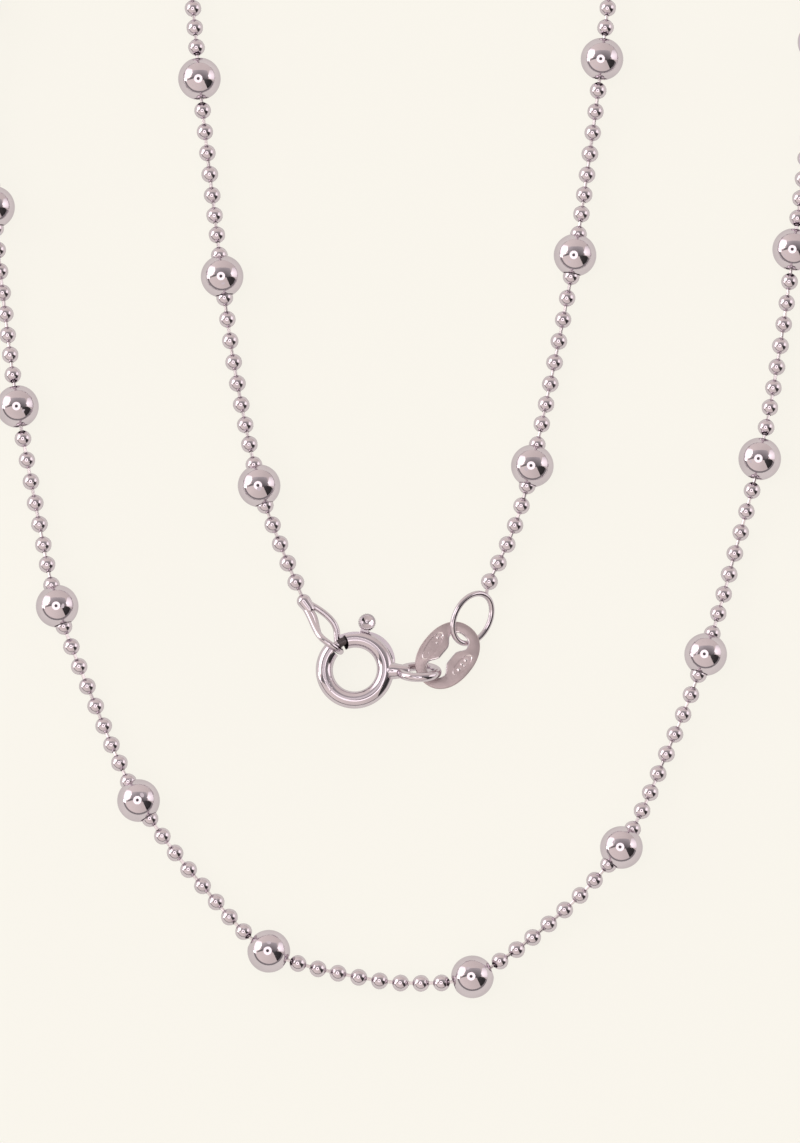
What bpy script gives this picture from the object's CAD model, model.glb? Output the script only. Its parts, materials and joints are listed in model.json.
"""Looks of the ball chain necklace: polished balls and station beads on their link wires, closed by a
spring ring with its trigger, a satin tag link, an oval jump ring and the end loop on the tongue."""

import json
import math

import bmesh
import bpy
from mathutils import Matrix, Vector


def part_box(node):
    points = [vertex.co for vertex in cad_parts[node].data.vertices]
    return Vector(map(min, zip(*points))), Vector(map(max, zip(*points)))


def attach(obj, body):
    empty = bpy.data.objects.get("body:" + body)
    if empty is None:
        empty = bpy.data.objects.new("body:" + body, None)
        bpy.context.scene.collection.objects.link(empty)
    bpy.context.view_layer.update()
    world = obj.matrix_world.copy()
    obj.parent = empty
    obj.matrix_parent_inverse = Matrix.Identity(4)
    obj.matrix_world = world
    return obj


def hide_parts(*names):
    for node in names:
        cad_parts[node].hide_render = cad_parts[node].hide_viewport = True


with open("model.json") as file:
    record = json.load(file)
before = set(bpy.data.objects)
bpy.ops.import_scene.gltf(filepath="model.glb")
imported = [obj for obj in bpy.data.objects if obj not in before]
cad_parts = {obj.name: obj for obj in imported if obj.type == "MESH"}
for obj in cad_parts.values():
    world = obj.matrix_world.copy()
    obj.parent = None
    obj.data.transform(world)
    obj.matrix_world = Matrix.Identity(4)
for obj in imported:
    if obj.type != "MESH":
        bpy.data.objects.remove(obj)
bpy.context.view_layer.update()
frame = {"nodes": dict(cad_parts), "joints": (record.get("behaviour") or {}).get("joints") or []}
MM = 0.001

# Camera
PHOTO_H_PX = 1143
PX_PER_MM = 14.3
VIEW_TILT = math.radians(8)
VIEW_DISTANCE = 2.0
LENS_SENSOR_MM = 36.0
# The photograph's centre, measured from the middle of the necklace's footprint
VIEW_CENTRE = Vector((-0.15, -20.14, 0)) * MM

# Sizes that the pieces share
BALL_R = 0.596 * MM
BALL_HOLE_R = 0.17 * MM
LINK_WIRE_R = 0.125 * MM
STATION_R = 1.496 * MM
STATION_BORE_R = 0.72 * MM
# Rolled-in mouths of the station beads, where a ball sits in them and where only the wire passes
MOUTH_R_HELD = 0.625 * MM
MOUTH_R_EMPTY = 0.52 * MM
CAP_R = 0.5 * MM
RING_R = 2.15 * MM
TUBE_R = 0.6 * MM
BORE_R = 0.38 * MM
SLOT_W = 0.42 * MM
TONGUE_R = 0.3 * MM
EYE_R = 1.28 * MM
EYE_WIRE_R = 0.32 * MM
EYE_REACH = 4.5 * MM
EYE_LEAN = math.radians(25)
LOOP_WIRE_R = 0.235 * MM
JUMP_WIRE_R = 0.2 * MM

# Degrees from the X axis to the eye, in the ring's own plane
EYE_TURN = -3
# Degrees round the spring ring from the eye: slot and bore, the gap's two sides, and the tongue's tip
SLOT_FROM, MOUTH, GAP_END, TIP = 18, 118, 143, 149
# And to the filed flat on the tube, the trigger's stem and the tongue's hidden tail
FLAT_AT = 99
STEM_AT = 79
TAIL_AT = 62

# Vertices nearer than this are merged, in the pieces and in the round studio cards
SAME_POINT = 0.0005 * MM
SAME_CARD_POINT = 0.01 * MM

# Distances of the studio from the middle of the view, in metres: the panels hang behind the other cards
CARD_DISTANCE, PANEL_DISTANCE = 2.0, 2.1
LIGHT_DISTANCE, LENS_DISTANCE = 1.1, 1.11
HORIZON_FAR = 1.8
# Where the ring light and the lens in it show on a round bead, in radii
LIGHT_AT = (-0.06, 0.02)


def look_direction(x, y):
    """Where the mirror of a round bead looks, for a place on the bead seen from the camera, in radii."""
    depth = math.sqrt(max(0.0, 1 - x * x - y * y))
    seen = Vector((2 * x * depth, 2 * y * depth, 2 * depth * depth - 1))
    return Matrix.Rotation(VIEW_TILT, 3, "X") @ seen


def finished(name, mesh, material, body="necklace", smooth_angle=38):
    """Makes an object of a bmesh, shades it, and lets it ride on a body."""
    data = bpy.data.meshes.new(name)
    mesh.to_mesh(data)
    mesh.free()
    return finished_data(name, data, material, body, smooth_angle)


def finished_data(name, data, material, body="necklace", smooth_angle=38):
    """Makes an object of mesh data, with one material or a list, shades it, and lets it ride on a body."""
    piece = bpy.data.objects.new(name, data)
    bpy.context.scene.collection.objects.link(piece)
    for each in material if isinstance(material, list) else [material]:
        data.materials.append(each)
    data.shade_smooth()
    data.set_sharp_from_angle(angle=math.radians(smooth_angle))
    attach(piece, body)
    return piece


def turned(mesh, profile, steps, place, closed=True):
    """Turns a profile of (along, radius) points round the X axis into a mesh, set by a matrix."""
    verts = [mesh.verts.new(place @ Vector((along, 0, radius))) for along, radius in profile]
    pairs = list(zip(verts, verts[1:])) + ([(verts[-1], verts[0])] if closed else [])
    edges = [mesh.edges.new(pair) for pair in pairs]
    axis = (place.to_3x3() @ Vector((1, 0, 0))).normalized()
    bmesh.ops.spin(mesh, geom=verts + edges, cent=place.translation, axis=axis,
                   angle=2 * math.pi, steps=steps, use_merge=True)


def about_z(degrees):
    """A turn about the Z axis."""
    return Matrix.Rotation(math.radians(degrees), 4, "Z")


def facing(at, direction):
    """A matrix that sets the X axis at a place, along a direction."""
    turn = Vector((1, 0, 0)).rotation_difference(direction.normalized())
    return Matrix.Translation(at) @ turn.to_matrix().to_4x4()


def closed_up(mesh):
    """Merges doubles and points every face outwards."""
    bmesh.ops.remove_doubles(mesh, verts=mesh.verts, dist=SAME_POINT)
    bmesh.ops.recalc_face_normals(mesh, faces=mesh.faces)


def solid_centres(node):
    """Centres of the loose solids of a CAD node, from a merged copy of its mesh."""
    mesh = bmesh.new()
    mesh.from_mesh(frame["nodes"][node].data)
    bmesh.ops.remove_doubles(mesh, verts=mesh.verts, dist=SAME_POINT)
    seen = set()
    centres = []
    for start in mesh.verts:
        if start in seen:
            continue
        seen.add(start)
        island = [start]
        for vert in island:
            for edge in vert.link_edges:
                other = edge.other_vert(vert)
                if other not in seen:
                    seen.add(other)
                    island.append(other)
        low = Vector(min(v.co[k] for v in island) for k in range(3))
        high = Vector(max(v.co[k] for v in island) for k in range(3))
        centres.append((low + high) / 2)
    mesh.free()
    return centres


def in_chain_order(start, places):
    """Sorts (centre, kind) places by walking from each to its nearest neighbour."""
    left = list(places)
    here = start
    line = []
    while left:
        nearest = min(left, key=lambda place: (place[0] - here).length_squared)
        left.remove(nearest)
        line.append(nearest)
        here = nearest[0]
    return line


# Materials

def new_material(name):
    """A material with its shader node, node maker and link maker."""
    material = bpy.data.materials.new(name)
    material.use_nodes = True
    nodes = material.node_tree.nodes
    return material, nodes["Principled BSDF"], nodes.new, material.node_tree.links.new


def noise(node, link, place, scale, detail=2):
    """A noise over the object's own coordinates, from 0 to 1."""
    made = node("ShaderNodeTexNoise")
    made.inputs["Scale"].default_value = scale
    made.inputs["Detail"].default_value = detail
    link(place, made.inputs["Vector"])
    return made.outputs["Fac"]


def mapped(node, link, value, low, high, to_low=0, to_high=1):
    """A value moved from one range to another, and held within it."""
    made = node("ShaderNodeMapRange")
    made.inputs["From Min"].default_value = low
    made.inputs["From Max"].default_value = high
    made.inputs["To Min"].default_value = to_low
    made.inputs["To Max"].default_value = to_high
    link(value, made.inputs["Value"])
    return made.outputs["Result"]


def tinted(node, link, value, low, low_tint, high, high_tint):
    """A colour that runs from one tint to another while a value rises between two limits."""
    made = node("ShaderNodeValToRGB")
    for stop, position, tint in zip(made.color_ramp.elements, (low, high), (low_tint, high_tint)):
        stop.position = position
        stop.color = (*tint, 1)
    link(value, made.inputs["Fac"])
    return made.outputs["Color"]


def bumped(node, link, height, strength, depth):
    """A bump node for a height."""
    made = node("ShaderNodeBump")
    made.inputs["Strength"].default_value = strength
    made.inputs["Distance"].default_value = depth
    link(height, made.inputs["Height"])
    return made


# Keeps the metal's rims from turning white
EDGE_TINT = (0.8, 0.78, 0.8, 1)
# Depth of the polish's ripple and of the plate's grain
RIPPLE_DEPTH = 0.02 * MM


def pit_height(node, link, place, pits_at):
    """Round dots that fade out away from a place: 1 in the middle of a pit."""
    cells = node("ShaderNodeTexVoronoi")
    cells.inputs["Scale"].default_value = 4200
    link(place, cells.inputs["Vector"])
    away = node("ShaderNodeVectorMath")
    away.operation = "DISTANCE"
    away.inputs[1].default_value = pits_at
    link(place, away.inputs[0])
    height = node("ShaderNodeMath")
    height.operation = "MULTIPLY"
    link(mapped(node, link, away.outputs["Value"], 0.6 * MM, 0.35 * MM), height.inputs[0])
    link(mapped(node, link, cells.outputs["Distance"], 0.32, 0.1), height.inputs[1])
    return height.outputs["Value"]


def polished_metal(name, tint, roughness, ripple, pits_at=None):
    """Plated metal with a faint ripple of the polish, a slightly uneven gloss and perhaps a spot of pits."""
    material, shader, node, link = new_material(name)
    shader.inputs["Metallic"].default_value = 1.0
    shader.inputs["Specular Tint"].default_value = EDGE_TINT
    place = node("ShaderNodeTexCoord").outputs["Object"]
    tone = noise(node, link, place, 900, 4)
    link(tinted(node, link, tone, 0.35, [c * 0.93 for c in tint], 0.65, tint), shader.inputs["Base Color"])
    link(mapped(node, link, tone, 0.3, 0.75, roughness * 0.8, roughness * 1.5), shader.inputs["Roughness"])
    last = bumped(node, link, noise(node, link, place, 1500), ripple, RIPPLE_DEPTH)
    if pits_at:
        pits = bumped(node, link, pit_height(node, link, place, pits_at), 0.7, 0.05 * MM)
        pits.invert = True
        link(last.outputs["Normal"], pits.inputs["Normal"])
        last = pits
    link(last.outputs["Normal"], shader.inputs["Normal"])
    return material


def satin_metal(name, tint, roughness):
    """Stamped plate: dull, with a fine grain and a cloudy tone."""
    material, shader, node, link = new_material(name)
    shader.inputs["Metallic"].default_value = 1.0
    shader.inputs["Specular Tint"].default_value = EDGE_TINT
    place = node("ShaderNodeTexCoord").outputs["Object"]
    grain = noise(node, link, place, 5200, 5)
    cloud = noise(node, link, place, 700)
    dark = [c * 0.82 for c in tint]
    light = [min(1, c * 1.08) for c in tint]
    link(tinted(node, link, cloud, 0.3, dark, 0.7, light), shader.inputs["Base Color"])
    link(mapped(node, link, grain, 0, 1, roughness * 0.85, roughness * 1.15), shader.inputs["Roughness"])
    link(bumped(node, link, grain, 0.35, RIPPLE_DEPTH).outputs["Normal"], shader.inputs["Normal"])
    return material


SILVER_TINT = (0.655, 0.59, 0.64)
# The cast pits lie on the left of the spring ring
PITS_AT = (-5.0 * MM, -28.15 * MM, 1.4 * MM)
bead_silver = polished_metal("bead_silver", SILVER_TINT, 0.06, 0.05)
ball_silver = polished_metal("ball_silver", SILVER_TINT, 0.06, 0.05)
wire_silver = polished_metal("wire_silver", (0.80, 0.74, 0.77), 0.3, 0.1)
clasp_silver = polished_metal("clasp_silver", SILVER_TINT, 0.07, 0.12)
ring_silver = polished_metal("ring_silver", SILVER_TINT, 0.07, 0.1, PITS_AT)
knob_silver = polished_metal("knob_silver", [tone * 0.87 for tone in SILVER_TINT], 0.08, 0.15)
bore_dark = polished_metal("bore_dark", (0.05, 0.04, 0.045), 0.4, 0.1)
tongue_steel = polished_metal("tongue_steel", (0.1, 0.085, 0.09), 0.35, 0.1)
tag_satin = satin_metal("tag_satin", (0.545, 0.455, 0.465), 0.4)
relief_silver = polished_metal("relief_silver", (0.88, 0.82, 0.84), 0.14, 0.2)


# Chain of small balls through the station beads

station_names = sorted(name for name in frame["nodes"] if name.startswith("station_bead"))


def middle_of(node):
    """Middle of a CAD node's box."""
    low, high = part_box(node)
    return (low + high) / 2


loop_low, loop_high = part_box("end_loop")
cap_centre = Vector((loop_low.x + CAP_R, loop_high.y - CAP_R, BALL_R))
chain = in_chain_order(cap_centre, [(c, "ball") for c in solid_centres("ball_chain")]
                       + [(middle_of(name), name) for name in station_names])
# A station bead whose neighbours stand this far apart has room for two hidden balls
ROOM_FOR_HIDDEN = 3.7 * MM


def chain_way(i):
    """Direction of the chain at a place in it."""
    after = chain[min(i + 1, len(chain) - 1)][0]
    before = chain[i - 1][0] if i else cap_centre
    return (after - before).normalized()


def arc_profile(radius, start, arcs):
    """Profile of a ball's outside, from one mouth to the other, which lie at an angle off its axis."""
    sweep = [start + (math.pi - 2 * start) * k / arcs for k in range(arcs + 1)]
    return [(-radius * math.cos(a), radius * math.sin(a)) for a in sweep]


def station_profile(mouth_r):
    """Profile of a station bead: a sphere whose mouths are rolled in over a small radius, and its bore."""
    rim = 0.035 * MM
    start = math.asin((mouth_r + rim) / STATION_R)
    points = arc_profile(STATION_R, start, 30)
    lip = points[-1][0]
    roll = [(lip - 0.012 * MM, mouth_r + rim * 0.4), (lip - 0.05 * MM, mouth_r),
            (lip - 0.12 * MM, STATION_BORE_R)]
    return [(-x, r) for x, r in reversed(roll)] + points + roll


def make_stations():
    """One polished bead for each station node."""
    for i, (centre, kind) in enumerate(chain):
        if kind == "ball":
            continue
        way = chain_way(i)
        way.z = 0
        mouth_r = MOUTH_R_EMPTY if hidden_balls(i) else MOUTH_R_HELD
        mesh = bmesh.new()
        turned(mesh, station_profile(mouth_r), 56, facing(centre, way))
        closed_up(mesh)
        piece = finished(kind.replace("station_bead", "station"), mesh, bead_silver)
        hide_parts(kind)


def hidden_balls(i):
    """Places of the two balls inside a station bead, or none where its neighbours sit in its mouths."""
    centre = chain[i][0]
    if i == 0 or i == len(chain) - 1:
        return []
    across = chain[i + 1][0] - chain[i - 1][0]
    if across.length < ROOM_FOR_HIDDEN:
        return []
    # Four balls in an even row: the neighbours and two between them
    step = across.normalized() * across.length / 6
    return [centre - step, centre + step]


def make_balls_and_wires():
    """The small balls as one mesh, and the wire links between them as another."""
    balls = bmesh.new()
    wires = bmesh.new()
    profile = arc_profile(BALL_R, math.asin(BALL_HOLE_R / BALL_R), 8)
    stops = [cap_centre]
    for i, (centre, kind) in enumerate(chain):
        way = chain_way(i)
        inside = [centre] if kind == "ball" else hidden_balls(i)
        for place in inside:
            turned(balls, profile, 12, facing(place, way))
        stops.extend(inside or [centre])
    for a, b in zip(stops, stops[1:]):
        place = facing((a + b) / 2, b - a) @ Matrix.Rotation(math.pi / 2, 4, "Y")
        # The ends stop short of the middles of the balls
        bmesh.ops.create_cone(wires, cap_ends=True, segments=8, radius1=LINK_WIRE_R, radius2=LINK_WIRE_R,
                              depth=(b - a).length - 0.2 * MM, matrix=place)
    closed_up(balls)
    piece = finished("chain_balls", balls, ball_silver)
    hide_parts("ball_chain")
    piece = finished("chain_links", wires, wire_silver)
    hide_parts("link_wire")


make_stations()
make_balls_and_wires()


# Spring ring, with its own plane: X towards the eye, Z up

hinge = frame["joints"][0]
hinge_axis = Vector(hinge["axis"])
clasp_plane = (Matrix.Translation(Vector(hinge["pos_m"]))
               @ Matrix.Rotation(-math.asin(hinge_axis.x), 4, "Y") @ about_z(EYE_TURN))


def arc_of(mesh, section, start, end, steps):
    """Sweeps a closed section of (radius, height) points round the ring's axis between two angles."""
    turn = about_z(start)
    verts = [mesh.verts.new(turn @ Vector((r, 0, z))) for r, z in section]
    edges = [mesh.edges.new((verts[k], verts[(k + 1) % len(verts)])) for k in range(len(verts))]
    full = abs(end - start) >= 360
    made = bmesh.ops.spin(mesh, geom=verts + edges, cent=(0, 0, 0), axis=(0, 0, 1),
                          angle=math.radians(end - start), steps=steps, use_merge=full)
    if not full:
        last = [e for e in made["geom_last"] if isinstance(e, bmesh.types.BMEdge)]
        bmesh.ops.holes_fill(mesh, edges=edges + last, sides=0)


def circle(radius, r, sides):
    """A round section of (radius, height) points."""
    angles = [2 * math.pi * k / sides for k in range(sides)]
    return [(radius + r * math.cos(a), r * math.sin(a)) for a in angles]


def box_section(low_r, high_r, low_z, high_z):
    """A square section of (radius, height) points."""
    return [(low_r, low_z), (high_r, low_z), (high_r, high_z), (low_r, high_z)]


def tool(section, start, end, steps, shift=None):
    """An object that a boolean takes away or adds, swept round the ring's axis."""
    mesh = bmesh.new()
    arc_of(mesh, section, start, end, steps)
    if shift:
        bmesh.ops.transform(mesh, matrix=shift, verts=mesh.verts)
    closed_up(mesh)
    return loose_object(mesh)


def block(place, size):
    """A box of the given sides, set by a matrix, as a mesh."""
    mesh = bmesh.new()
    bmesh.ops.create_cube(mesh, size=1)
    bmesh.ops.transform(mesh, matrix=place @ Matrix.Diagonal((*size, 1)), verts=mesh.verts)
    return mesh


def round_edges(mesh, edges, width, segments):
    """Rounds some edges of a mesh."""
    bmesh.ops.bevel(mesh, geom=edges, offset=width, segments=segments, affect="EDGES", profile=0.5,
                    material=-1)


def loose_object(mesh):
    """A working object of a bmesh, outside the finished pieces."""
    data = bpy.data.meshes.new("work")
    mesh.to_mesh(data)
    mesh.free()
    work = bpy.data.objects.new("work", data)
    bpy.context.scene.collection.objects.link(work)
    return work


def carved(base, steps):
    """Applies (operation, object) booleans to an object and returns its mesh; the objects are removed."""
    for operation, other in steps:
        cut = base.modifiers.new("cut", "BOOLEAN")
        cut.operation = operation
        cut.solver = "EXACT"
        cut.object = other
    shape = base.evaluated_get(bpy.context.evaluated_depsgraph_get())
    data = bpy.data.meshes.new_from_object(shape)
    for other in [base] + [other for _, other in steps]:
        bpy.data.objects.remove(other)
    return data


def evened(piece):
    """Lets the large faces of a carved piece set its shading, so that the cuts leave no blotches."""
    shading = piece.modifiers.new("even_shading", "WEIGHTED_NORMAL")
    shading.keep_sharp = True
    shading.weight = 70
    return piece


def off_centreline(point):
    """Distance of a point from the middle line of the ring's tube."""
    return math.hypot(math.hypot(point.x, point.y) - RING_R, point.z)


# The solder between tube and eye: its profile in millimetres from the tube's outer edge, outwards
SOLDER_FLARE = [(-0.05, 0.585), (0.12, 0.56), (0.3, 0.525), (0.5, 0.495), (0.8, 0.46), (1.02, 0.41),
                (1.13, 0.3), (1.16, 0.0)]
TUBE_EDGE = RING_R + TUBE_R


def slot_lip():
    """The slot's raised lip, a crescent on the tube's outer side."""
    shift = 0.75 * MM
    lip_r = 0.2 * MM
    reach = TUBE_EDGE + 0.24 * MM - shift - lip_r
    place = about_z(44) @ Matrix.Translation((shift, 0, -0.25 * MM))
    return tool(circle(reach, lip_r, sides=20), -55, 55, 40, place)


def solder():
    """The solder that flares from the eye's root into the tube."""
    flare = [(RING_R + 0.15 * MM, 0.0), (RING_R + 0.15 * MM, 0.56 * MM), (RING_R + 0.4 * MM, 0.59 * MM)]
    flare += [(TUBE_EDGE + along * MM, wide * MM) for along, wide in SOLDER_FLARE]
    mesh = bmesh.new()
    turned(mesh, flare, 36, Matrix.Identity(4), closed=False)
    closed_up(mesh)
    return loose_object(mesh)


def filed_flat():
    """The block that takes the flat off the tube's outer side, beside the gap."""
    depth = 0.33 * MM
    place = about_z(FLAT_AT) @ Matrix.Translation((TUBE_EDGE - depth + 0.5 * MM, 0, TUBE_R - SLOT_W / 2))
    return loose_object(block(place, (1 * MM, 1.45 * MM, 2 * TUBE_R)))


def filed_mouth():
    """The block that takes the top of the tube's mouth off at a slant."""
    slant = math.atan2(0.45, 0.8)
    place = (about_z(MOUTH) @ Matrix.Translation((RING_R, -0.225 * MM, 0.2 * MM))
             @ Matrix.Rotation(slant, 4, "X") @ Matrix.Translation((0, 0.3 * MM, 0)))
    return loose_object(block(place, (2 * MM, 0.6 * MM, 2.4 * MM)))


def make_spring_ring():
    """Tube with bore, mouth, slot and flat, the slot's lip, the solder and the eye."""
    far = TUBE_R * 2
    tube = tool(circle(RING_R, TUBE_R, sides=48), 0, 360, 144)
    lean = Matrix.Translation((EYE_REACH, 0, 0)) @ Matrix.Rotation(math.pi / 2 + EYE_LEAN, 4, "X")
    eye = tool(circle(EYE_R, EYE_WIRE_R, sides=32), 0, 360, 96, lean)
    gap = tool(box_section(RING_R - far, RING_R + far, -far, far), MOUTH, GAP_END, 10)
    bore = tool(circle(RING_R, BORE_R, sides=28), SLOT_FROM, TIP + 2, 60)
    slot = tool(box_section(RING_R, RING_R + far, -SLOT_W / 2, SLOT_W / 2), SLOT_FROM, MOUTH + 1, 60)
    added = [slot_lip(), solder(), eye]
    taken = [gap, filed_mouth(), bore, slot, filed_flat()]
    data = carved(tube, [("UNION", part) for part in added] + [("DIFFERENCE", part) for part in taken])
    for face in data.polygons:
        face.material_index = 1 if off_centreline(face.center) < BORE_R + 0.01 * MM else 0
    data.transform(clasp_plane)
    piece = evened(finished_data("spring_ring_shell", data, [ring_silver, bore_dark], smooth_angle=34))
    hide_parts("spring_ring")


# Thumb knob
KNOB_R = 0.62 * MM
KNOB_TOP_R = 0.5 * MM
KNOB_THICK = 0.5 * MM
KNOB_AT = TUBE_EDGE + 0.06 * MM + KNOB_R
# Its dimple: millimetres below the top, and shares of the knob's radius
DIMPLE = [(0.01, 0.68), (0.07, 0.58), (0.16, 0.36), (0.2, 0.12), (0.2, 0)]


def thumb_knob():
    """The knob with its knurled flank and the dimple in its top, which is set a little to the right."""
    low = -SLOT_W / 2 + 0.04 * MM
    side = [(0, 0), (0, KNOB_R - 0.05 * MM), (0.04 * MM, KNOB_R), (0.2 * MM, KNOB_R),
            (KNOB_THICK - 0.07 * MM, KNOB_TOP_R + 0.06 * MM),
            (KNOB_THICK - 0.02 * MM, KNOB_TOP_R + 0.03 * MM),
            (KNOB_THICK, KNOB_TOP_R - 0.03 * MM)]
    dimple = [(KNOB_THICK - deep * MM, KNOB_R * wide) for deep, wide in DIMPLE]
    mesh = bmesh.new()
    turned(mesh, side + dimple, 72, Matrix.Rotation(-math.pi / 2, 4, "Y"), closed=False)
    closed_up(mesh)
    for vert in mesh.verts:
        if math.hypot(vert.co.x, vert.co.y) > KNOB_TOP_R + 0.01 * MM:
            # Every third column of the flank is a groove
            column = round(math.degrees(math.atan2(vert.co.y, vert.co.x)) / 5)
            vert.co.xy *= 1 if column % 3 else 0.955
        vert.co.y -= 0.07 * MM * vert.co.z / KNOB_THICK
    place = about_z(STEM_AT) @ Matrix.Translation((KNOB_AT, 0, low))
    bmesh.ops.transform(mesh, matrix=place, verts=mesh.verts)
    return loose_object(mesh)


def trigger_stem():
    """The flat stem from the tongue through the slot to the knob, with its upper and lower edges rounded."""
    reach = KNOB_AT - KNOB_R * 0.5 - RING_R
    place = about_z(STEM_AT) @ Matrix.Translation((RING_R + reach / 2, 0, 0))
    mesh = block(place, (reach, 0.62 * MM, 0.32 * MM))
    edges = [e for e in mesh.edges if abs(e.verts[0].co.z - e.verts[1].co.z) < 1e-7]
    round_edges(mesh, edges, 0.04 * MM, 2)
    return loose_object(mesh)


def make_trigger():
    """Tongue, flat stem and thumb knob, with dark steel on the part of the tongue inside the tube."""
    tongue = tool(circle(RING_R, TONGUE_R, sides=28), TAIL_AT, TIP, 48)
    data = carved(tongue, [("UNION", trigger_stem()), ("UNION", thumb_knob())])
    for face in data.polygons:
        past = math.degrees(math.atan2(face.center.y, face.center.x)) > MOUTH + 8
        if math.hypot(face.center.x, face.center.y) > TUBE_EDGE:
            face.material_index = 2
        elif not past and off_centreline(face.center) < TONGUE_R + 0.005 * MM:
            face.material_index = 1
    data.transform(clasp_plane)
    metals = [clasp_silver, tongue_steel, knob_silver]
    piece = evened(finished_data("trigger_polished", data, metals, body="trigger", smooth_angle=34))
    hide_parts("trigger")


make_spring_ring()
make_trigger()


# End loop, jump ring and tag link

WIRE_SIDES = 24


def smooth_wire(name, points, radius, closed):
    """A round wire along a smooth line through points, as mesh data."""
    curve = bpy.data.curves.new(name, "CURVE")
    curve.dimensions = "3D"
    curve.bevel_depth = radius
    curve.bevel_resolution = WIRE_SIDES // 2 - 2
    curve.use_fill_caps = True
    curve.resolution_u = 8
    spline = curve.splines.new("NURBS")
    spline.points.add(len(points) - 1)
    for point, at in zip(spline.points, points):
        point.co = (*at, 1)
    spline.order_u = 4
    spline.use_cyclic_u = closed
    spline.use_endpoint_u = not closed
    work = bpy.data.objects.new(name, curve)
    bpy.context.scene.collection.objects.link(work)
    shape = work.evaluated_get(bpy.context.evaluated_depsgraph_get())
    data = bpy.data.meshes.new_from_object(shape)
    bpy.data.objects.remove(work)
    return data


# The end loop's path: shares of the reach to the tongue, of half its width and of the lift over the tongue
LOOP = [
    (0.10, -0.28, 0), (0.24, -0.36, 0.25), (0.42, -0.6, 0.6), (0.62, -0.85, 1), (0.78, -0.85, 1.35),
    (0.93, -0.6, 1.5), (1.06, -0.25, 1.05), (1.155, 0, 0), (1.07, 0.1, -0.94), (0.93, 0.3, -0.94),
    (0.8, 0.9, -0.82), (0.64, 1.22, -0.6), (0.42, 1.05, -0.35), (0.24, 0.68, -0.2), (0.10, 0.28, 0)]
# The wire's other end, soldered along the loop's left side
LOOP_STRAND = [
    (0.16, 0.0, 0.1), (0.3, 0.0, 0.25), (0.4, -0.15, 0.45), (0.5, -0.4, 0.7), (0.6, -0.62, 0.9),
    (0.7, -0.85, 1.1)]
LOOP_STRAND_R = LOOP_WIRE_R * 0.8
LOOP_HALF = 0.7 * MM
HOOK_LIFT = 0.615 * MM
# A share of the path beyond 1 by this much lies one lift past the tongue's middle
HOOK_BEYOND = 0.155
# The cap's taper into the loop: millimetres along it and its radius
CAP_TAPER = [(0.4, 0.455), (0.6, 0.43), (0.8, 0.405), (0.92, 0.36), (0.99, 0.25), (1.02, 0.0)]


def make_end_loop():
    """Cap on the first link, running out in a taper, and the wire loop that hooks on the tongue."""
    hook = clasp_plane @ (about_z((MOUTH + GAP_END) / 2) @ Vector((RING_R, 0, 0)))
    reach = hook - cap_centre
    along = reach.normalized()
    side = Vector((0, 0, 1)).cross(along).normalized()
    up = along.cross(side)
    mesh = bmesh.new()
    for path, wire_r in ((LOOP, LOOP_WIRE_R), (LOOP_STRAND, LOOP_STRAND_R)):
        points = []
        for far, wide, lift in path:
            beyond = (far - 1) / HOOK_BEYOND * HOOK_LIFT
            distance = far * reach.length if far <= 1 else reach.length + beyond
            points.append(cap_centre + along * distance + side * wide * LOOP_HALF + up * lift * HOOK_LIFT)
        mesh.from_mesh(smooth_wire("loop_wire", points, wire_r, closed=False))
    # The hole for the first link, the round back and the taper
    hole_r = 0.16 * MM
    back = [math.radians(a) for a in (-72, -60, -48, -36, -24, -12, 0, 10)]
    cap = [(-0.3 * MM, 0.0), (-0.3 * MM, hole_r), (-0.46 * MM, hole_r)]
    cap += [(CAP_R * math.sin(a), CAP_R * math.cos(a)) for a in back]
    cap += [(past * MM, wide * MM) for past, wide in CAP_TAPER]
    turned(mesh, cap, 32, facing(cap_centre, along), closed=False)
    closed_up(mesh)
    piece = finished("end_loop_polished", mesh, clasp_silver)
    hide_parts("end_loop")


# Jump ring: the turn of its long axis from X, that axis's fall, the lean round it, half length and half width
JUMP_TURN, JUMP_FALL, JUMP_LEAN = math.radians(60), math.radians(2.5), math.radians(34.8)
JUMP_LONG, JUMP_WIDE = 1.865 * MM, 1.42 * MM
# What the wire adds to the box of its middle line, and the lift that keeps it above the surface
JUMP_MARGIN = 0.175 * MM
JUMP_LIFT = 0.045 * MM


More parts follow.
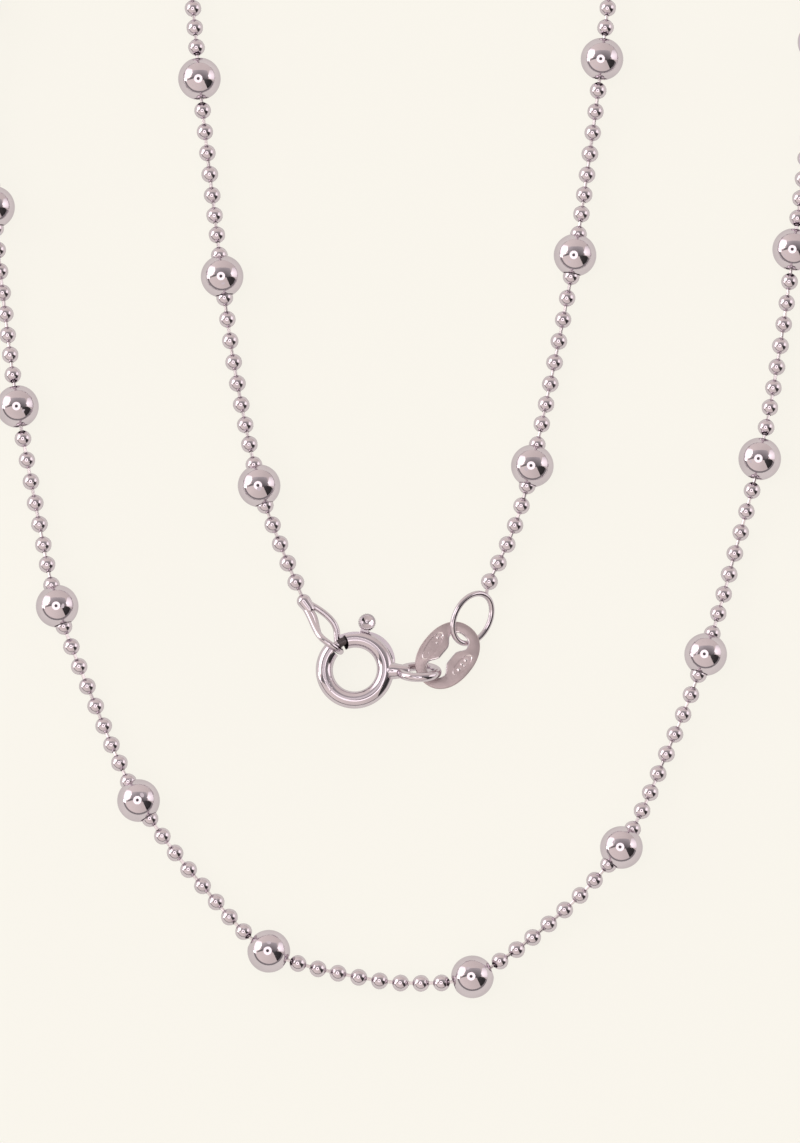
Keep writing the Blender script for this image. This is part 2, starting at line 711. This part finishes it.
def make_jump_ring():
    """The CAD jump ring's own line, drawn round and smooth, with its stem."""
    low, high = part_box("jump_ring")
    along = Vector((math.cos(JUMP_TURN) * math.cos(JUMP_FALL), math.sin(JUMP_TURN) * math.cos(JUMP_FALL),
                    -math.sin(JUMP_FALL)))
    flat = Vector((-math.sin(JUMP_TURN), math.cos(JUMP_TURN), 0))
    side = flat * math.cos(JUMP_LEAN) + along.cross(flat) * math.sin(JUMP_LEAN)
    reach = Vector(math.hypot(JUMP_LONG * along[k], JUMP_WIDE * side[k]) + JUMP_MARGIN for k in range(3))
    centre = Vector((low.x + reach.x, low.y + reach.y, high.z - reach.z + JUMP_LIFT))
    count = 24
    ring = [centre + along * JUMP_LONG * math.cos(2 * math.pi * k / count)
            + side * JUMP_WIDE * math.sin(2 * math.pi * k / count) for k in range(count)]
    # The smooth line runs a little inside its points, so they are set further out
    scale = 1 / (1 - (1 - math.cos(2 * math.pi / count)) / 3)
    ring = [centre + (p - centre) * scale for p in ring]
    mesh = bmesh.new()
    mesh.from_mesh(smooth_wire("jump_ring_wire", ring, JUMP_WIRE_R, closed=True))
    root = centre + along * JUMP_LONG
    way = chain[-1][0] - root
    stem = [(0, 0.0), (0, 0.17 * MM), (0.16 * MM, 0.16 * MM), (0.3 * MM, 0.125 * MM),
            (way.length - 0.24 * MM, 0.115 * MM), (way.length - 0.24 * MM, 0.0)]
    turned(mesh, stem, 16, facing(root, way), closed=False)
    closed_up(mesh)
    piece = finished("jump_ring_polished", mesh, clasp_silver)
    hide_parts("jump_ring")


def power(value, exponent):
    """A power that keeps the sign."""
    return math.copysign(abs(value) ** exponent, value)


TAG_LEN, TAG_W, TAG_THICK = 5.1 * MM, 3.85 * MM, 0.28 * MM
TAG_SLOT_LEN, TAG_SLOT_W, TAG_WAIST_W = 3.6 * MM, 1.7 * MM, 0.62 * MM
TAG_TURN = 51
TAG_TILT = math.radians(3.65)
# The two sunk pads: middle, half length and half width in millimetres, and turn in degrees
TAG_PADS = [(-0.15, 1.22, 1.25, 0.42, 4), (0.1, -1.24, 1.0, 0.4, -3)]
# Small raised dots in each pad: shares of its half length and half width, and their radius in millimetres
TAG_DOTS = [[(0.55, 0.25, 0.12), (0.28, -0.2, 0.1), (0.72, -0.25, 0.09), (-0.45, -0.3, 0.06)],
            [(-0.4, 0.0, 0.16), (0.02, 0.2, 0.13), (0.05, -0.35, 0.1), (0.42, 0.1, 0.15)]]
# Shares of the tag link's size within which its edges are polished
TAG_POLISHED_WITHIN = 0.43


def opening_half(share):
    """Half width of the tag link's opening at a share of its length: narrow to 0.15, full from 0.65."""
    t = min(max((abs(share) - 0.15) / 0.5, 0), 1)
    return (TAG_WAIST_W + (TAG_SLOT_W - TAG_WAIST_W) * t * t * (3 - 2 * t)) / 2


def tag_blank():
    """The flat plate with its outline, its opening and rounded edges, as a working object."""
    count = 96
    angles = [2 * math.pi * k / count for k in range(count)]
    # Powers under 1 make an oval fuller
    outline = [(TAG_LEN / 2 * power(math.cos(a), 0.9), TAG_W / 2 * power(math.sin(a), 0.9)) for a in angles]
    opening = [(TAG_SLOT_LEN / 2 * power(math.cos(a), 0.8),
                opening_half(math.cos(a)) * power(math.sin(a), 0.6)) for a in angles]
    mesh = bmesh.new()
    loops = []
    for points in (outline, opening):
        verts = [mesh.verts.new((x, y, -TAG_THICK / 2)) for x, y in points]
        loops += [mesh.edges.new((verts[k], verts[(k + 1) % count])) for k in range(count)]
    bmesh.ops.bridge_loops(mesh, edges=loops)
    made = bmesh.ops.extrude_face_region(mesh, geom=list(mesh.faces))
    raised = [v for v in made["geom"] if isinstance(v, bmesh.types.BMVert)]
    bmesh.ops.translate(mesh, verts=raised, vec=(0, 0, TAG_THICK))
    closed_up(mesh)
    corners = [e for e in mesh.edges if e.calc_face_angle(0) > math.radians(60)]
    round_edges(mesh, corners, 0.07 * MM, 3)
    return loose_object(mesh)


def sunk_pad(x, y, half_len, half_w, turn):
    """A shallow oval that a boolean takes out of the plate's top."""
    mesh = bmesh.new()
    bmesh.ops.create_cone(mesh, cap_ends=True, segments=40, radius1=0.86, radius2=1, depth=0.08 * MM)
    place = (Matrix.Translation((x * MM, y * MM, TAG_THICK / 2)) @ about_z(turn)
             @ Matrix.Diagonal((half_len * MM, half_w * MM, 1, 1)))
    bmesh.ops.transform(mesh, matrix=place, verts=mesh.verts)
    return loose_object(mesh)


def tag_marks(place):
    """Plain raised dots in both pads."""
    mesh = bmesh.new()
    top = TAG_THICK / 2 - 0.035 * MM
    for (x, y, half_len, half_w, _), dots in zip(TAG_PADS, TAG_DOTS):
        for share, across, wide in dots:
            at = Matrix.Translation(((x + half_len * share) * MM, (y + half_w * across) * MM, top))
            shape = Matrix.Diagonal((wide * MM, wide * 0.8 * MM, 0.045 * MM, 1))
            bmesh.ops.create_uvsphere(mesh, u_segments=16, v_segments=8, radius=1, matrix=place @ at @ shape)
    return mesh


def make_tag_link():
    """The stamped plate with its sunk pads and polished inside edges, and the raised marks on it."""
    data = carved(tag_blank(), [("DIFFERENCE", sunk_pad(*pad)) for pad in TAG_PADS])
    for face in data.polygons:
        on_edge = 0.2 < abs(face.normal.z) < 0.97
        inside = math.hypot(face.center.x / TAG_LEN, face.center.y / TAG_W) < TAG_POLISHED_WITHIN
        face.material_index = 1 if on_edge and inside else 0
    low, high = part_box("tag_link")
    place = Matrix.Translation((low + high) / 2) @ about_z(TAG_TURN) @ Matrix.Rotation(TAG_TILT, 4, "Y")
    data.transform(place)
    metals = [tag_satin, relief_silver]
    piece = evened(finished_data("tag_plate", data, metals, smooth_angle=20))
    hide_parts("tag_link")
    finished("tag_marks", tag_marks(place), relief_silver)


make_end_loop()
make_jump_ring()
make_tag_link()


# Floor, studio and camera

def glowing(name):
    """A glowing material whose brightness is set at the corners of a card."""
    material = bpy.data.materials.new(name)
    material.use_nodes = True
    nodes = material.node_tree.nodes
    link = material.node_tree.links.new
    nodes.remove(nodes["Principled BSDF"])
    glow = nodes.new("ShaderNodeEmission")
    glow.inputs["Color"].default_value = (1, 0.93, 0.92, 1)
    corners = nodes.new("ShaderNodeAttribute")
    corners.attribute_name = "brightness"
    link(corners.outputs["Fac"], glow.inputs["Strength"])
    link(glow.outputs["Emission"], nodes["Material Output"].inputs["Surface"])
    return material


card_glow = glowing("card_glow")


def studio_card(name, mesh, brightness):
    """A card that shows in the metal but not to the camera, with a brightness for each vertex."""
    data = bpy.data.meshes.new(name)
    mesh.to_mesh(data)
    mesh.free()
    glow = data.attributes.new("brightness", "FLOAT", "POINT")
    for k, spot in enumerate(glow.data):
        spot.value = brightness[k % len(brightness)]
    data.materials.append(card_glow)
    card = bpy.data.objects.new(name, data)
    bpy.context.scene.collection.objects.link(card)
    card.visible_camera = False
    card.visible_shadow = False


def flat_card(name, corners, distance):
    """A card given by where its corners show on a round bead, in radii, and their brightness."""
    mesh = bmesh.new()
    mesh.faces.new([mesh.verts.new(VIEW_CENTRE + look_direction(x, y) * distance) for x, y, _ in corners])
    bmesh.ops.triangulate(mesh, faces=mesh.faces)
    studio_card(name, mesh, [glow for _, _, glow in corners])


def ring_card(name, at, inner, outer, distance, brightness):
    """A round card or ring, given by where it shows on a round bead, in radii."""
    towards = look_direction(*at)
    place = facing(VIEW_CENTRE + towards * distance, towards)
    spans = [math.tan(2 * math.asin(r)) * distance for r in (inner, outer)]
    mesh = bmesh.new()
    turned(mesh, [(0, spans[0]), (0, spans[1])], 64, place, closed=False)
    bmesh.ops.remove_doubles(mesh, verts=mesh.verts, dist=SAME_CARD_POINT)
    studio_card(name, mesh, [brightness])


# A small grey disc over the clasp: its height above it, its shift towards the front and its radius
CLASP_CARD_HEIGHT = 26 * MM
CLASP_CARD_SHIFT = 2.2 * MM
CLASP_CARD_R = 6.3 * MM


def clasp_card():
    """The disc over the clasp, which the crest of the spring ring mirrors in place of the ring light."""
    ring_centre = clasp_plane @ Vector((0, 0, 0))
    crest = (clasp_plane.to_3x3() @ Vector((0, 0, 1))).normalized()
    to_camera = look_direction(0, 0)
    mirrored = crest * (2 * crest.dot(to_camera)) - to_camera
    mesh = bmesh.new()
    place = facing(ring_centre + mirrored * CLASP_CARD_HEIGHT - Vector((0, CLASP_CARD_SHIFT, 0)), mirrored)
    turned(mesh, [(0, 0.0), (0, CLASP_CARD_R)], 48, place, closed=False)
    bmesh.ops.remove_doubles(mesh, verts=mesh.verts, dist=SAME_CARD_POINT)
    studio_card("clasp_card", mesh, [0.93])


def horizon_card(name, start, end, low, high, brightness):
    """An upright band far round the object, between two azimuths and two elevations in degrees."""
    mesh = bmesh.new()
    turn = about_z(start)
    heights = [HORIZON_FAR * math.tan(math.radians(a)) for a in (low, high)]
    verts = [mesh.verts.new(turn @ Vector((HORIZON_FAR, 0, height))) for height in heights]
    bmesh.ops.spin(mesh, geom=verts + [mesh.edges.new(verts)], cent=(0, 0, 0), axis=(0, 0, 1),
                   angle=math.radians(end - start), steps=48)
    studio_card(name, mesh, [brightness])


# Cards by where their corners show on a round bead, in radii, and the brightness there
FLAT_CARDS = {
    "window_left": [(-0.80, 0.42, 1.0), (-0.60, 0.48, 1.1), (-0.33, 0.44, 1.5), (-0.33, 0.27, 3.2),
                    (-0.44, 0.08, 3.2), (-0.58, 0.02, 2.2), (-0.70, 0.05, 1.2), (-0.78, 0.20, 1.0)],
    "lamp_left": [(-0.70, 0.05, 5), (-0.60, 0.05, 5), (-0.59, -0.10, 5), (-0.68, -0.11, 5)],
    "window_right": [(0.46, 0.40, 1.1), (0.60, 0.42, 1.0), (0.78, 0.27, 1.0), (0.80, 0.06, 1.0),
                     (0.68, -0.03, 1.1), (0.48, 0.0, 1.6), (0.40, 0.14, 2.0)],
    "panel_top": [(-0.30, 0.38, 0.75), (0.02, 0.41, 0.55), (0.36, 0.38, 0.6), (0.43, 0.14, 0.45),
                  (0.40, 0.0, 0.12), (0.20, -0.05, 0.10), (-0.20, -0.02, 0.2), (-0.34, 0.06, 0.25)],
    "panel_spur": [(-0.60, -0.08, 0.35), (-0.34, 0.10, 0.2), (-0.22, 0.10, 0.2), (-0.30, 0.01, 0.2)],
    "flag_right": [(0.20, -0.04, 0.1), (0.42, 0.0, 0.05), (0.54, -0.03, 0.03), (0.68, -0.18, 0.05),
                   (0.57, -0.42, 0.03), (0.42, -0.57, 0.03), (0.33, -0.34, 0.03), (0.25, -0.17, 0.07)],
}


def make_studio():
    """World, ring light round the lens, the cards and the dark line of the horizon."""
    world = bpy.data.worlds.new("studio")
    bpy.context.scene.world = world
    world.use_nodes = True
    node = world.node_tree.nodes.new
    link = world.node_tree.links.new
    sky = world.node_tree.nodes["Background"]
    sky.inputs["Color"].default_value = (1, 0.90, 0.83, 1)
    # A little brighter on the left than on the right
    split = node("ShaderNodeSeparateXYZ")
    link(node("ShaderNodeTexCoord").outputs["Generated"], split.inputs["Vector"])
    link(mapped(node, link, split.outputs["X"], -0.8, 0.8, 1.02, 0.80), sky.inputs["Strength"])
    for name, corners in FLAT_CARDS.items():
        flat_card(name, corners, PANEL_DISTANCE if name.startswith("panel") else CARD_DISTANCE)
    ring_card("ring_light", LIGHT_AT, 0.075, 0.195, LIGHT_DISTANCE, 1.9)
    ring_card("lens", LIGHT_AT, 0.0, 0.078, LENS_DISTANCE, 0.12)
    clasp_card()
    horizon_card("horizon_low", 188, 348, 0.1, 11, 0.30)
    horizon_card("horizon_high", -15, 190, 0.1, 1.2, 0.6)


def make_floor():
    """A pale light table, wide enough for every view."""
    mesh = bmesh.new()
    bmesh.ops.create_grid(mesh, x_segments=1, y_segments=1, size=2.0)
    data = bpy.data.meshes.new("floor")
    mesh.to_mesh(data)
    mesh.free()
    material, shader, node, link = new_material("pale_floor")
    shader.inputs["Base Color"].default_value = (0.1, 0.097, 0.09, 1)
    shader.inputs["Roughness"].default_value = 0.9
    shader.inputs["Specular IOR Level"].default_value = 0.0
    shader.inputs["Emission Color"].default_value = (1.0, 0.973, 0.894, 1)
    shader.inputs["Emission Strength"].default_value = 0.857
    data.materials.append(material)
    floor = bpy.data.objects.new("floor", data)
    bpy.context.scene.collection.objects.link(floor)


def make_camera():
    """A long lens at the photograph's angle."""
    data = bpy.data.cameras.new("camera")
    data.sensor_fit = "VERTICAL"
    data.sensor_height = LENS_SENSOR_MM
    frame_height = PHOTO_H_PX / PX_PER_MM * MM
    data.lens = LENS_SENSOR_MM * VIEW_DISTANCE / frame_height
    data.clip_start = 0.05
    data.clip_end = 20
    camera = bpy.data.objects.new("camera", data)
    camera.location = VIEW_CENTRE + Vector((0, -math.sin(VIEW_TILT), math.cos(VIEW_TILT))) * VIEW_DISTANCE
    camera.rotation_euler = (VIEW_TILT, 0, 0)
    bpy.context.scene.collection.objects.link(camera)
    bpy.context.scene.camera = camera


make_studio()
make_floor()
make_camera()
bpy.context.scene.view_settings.view_transform = "Standard"
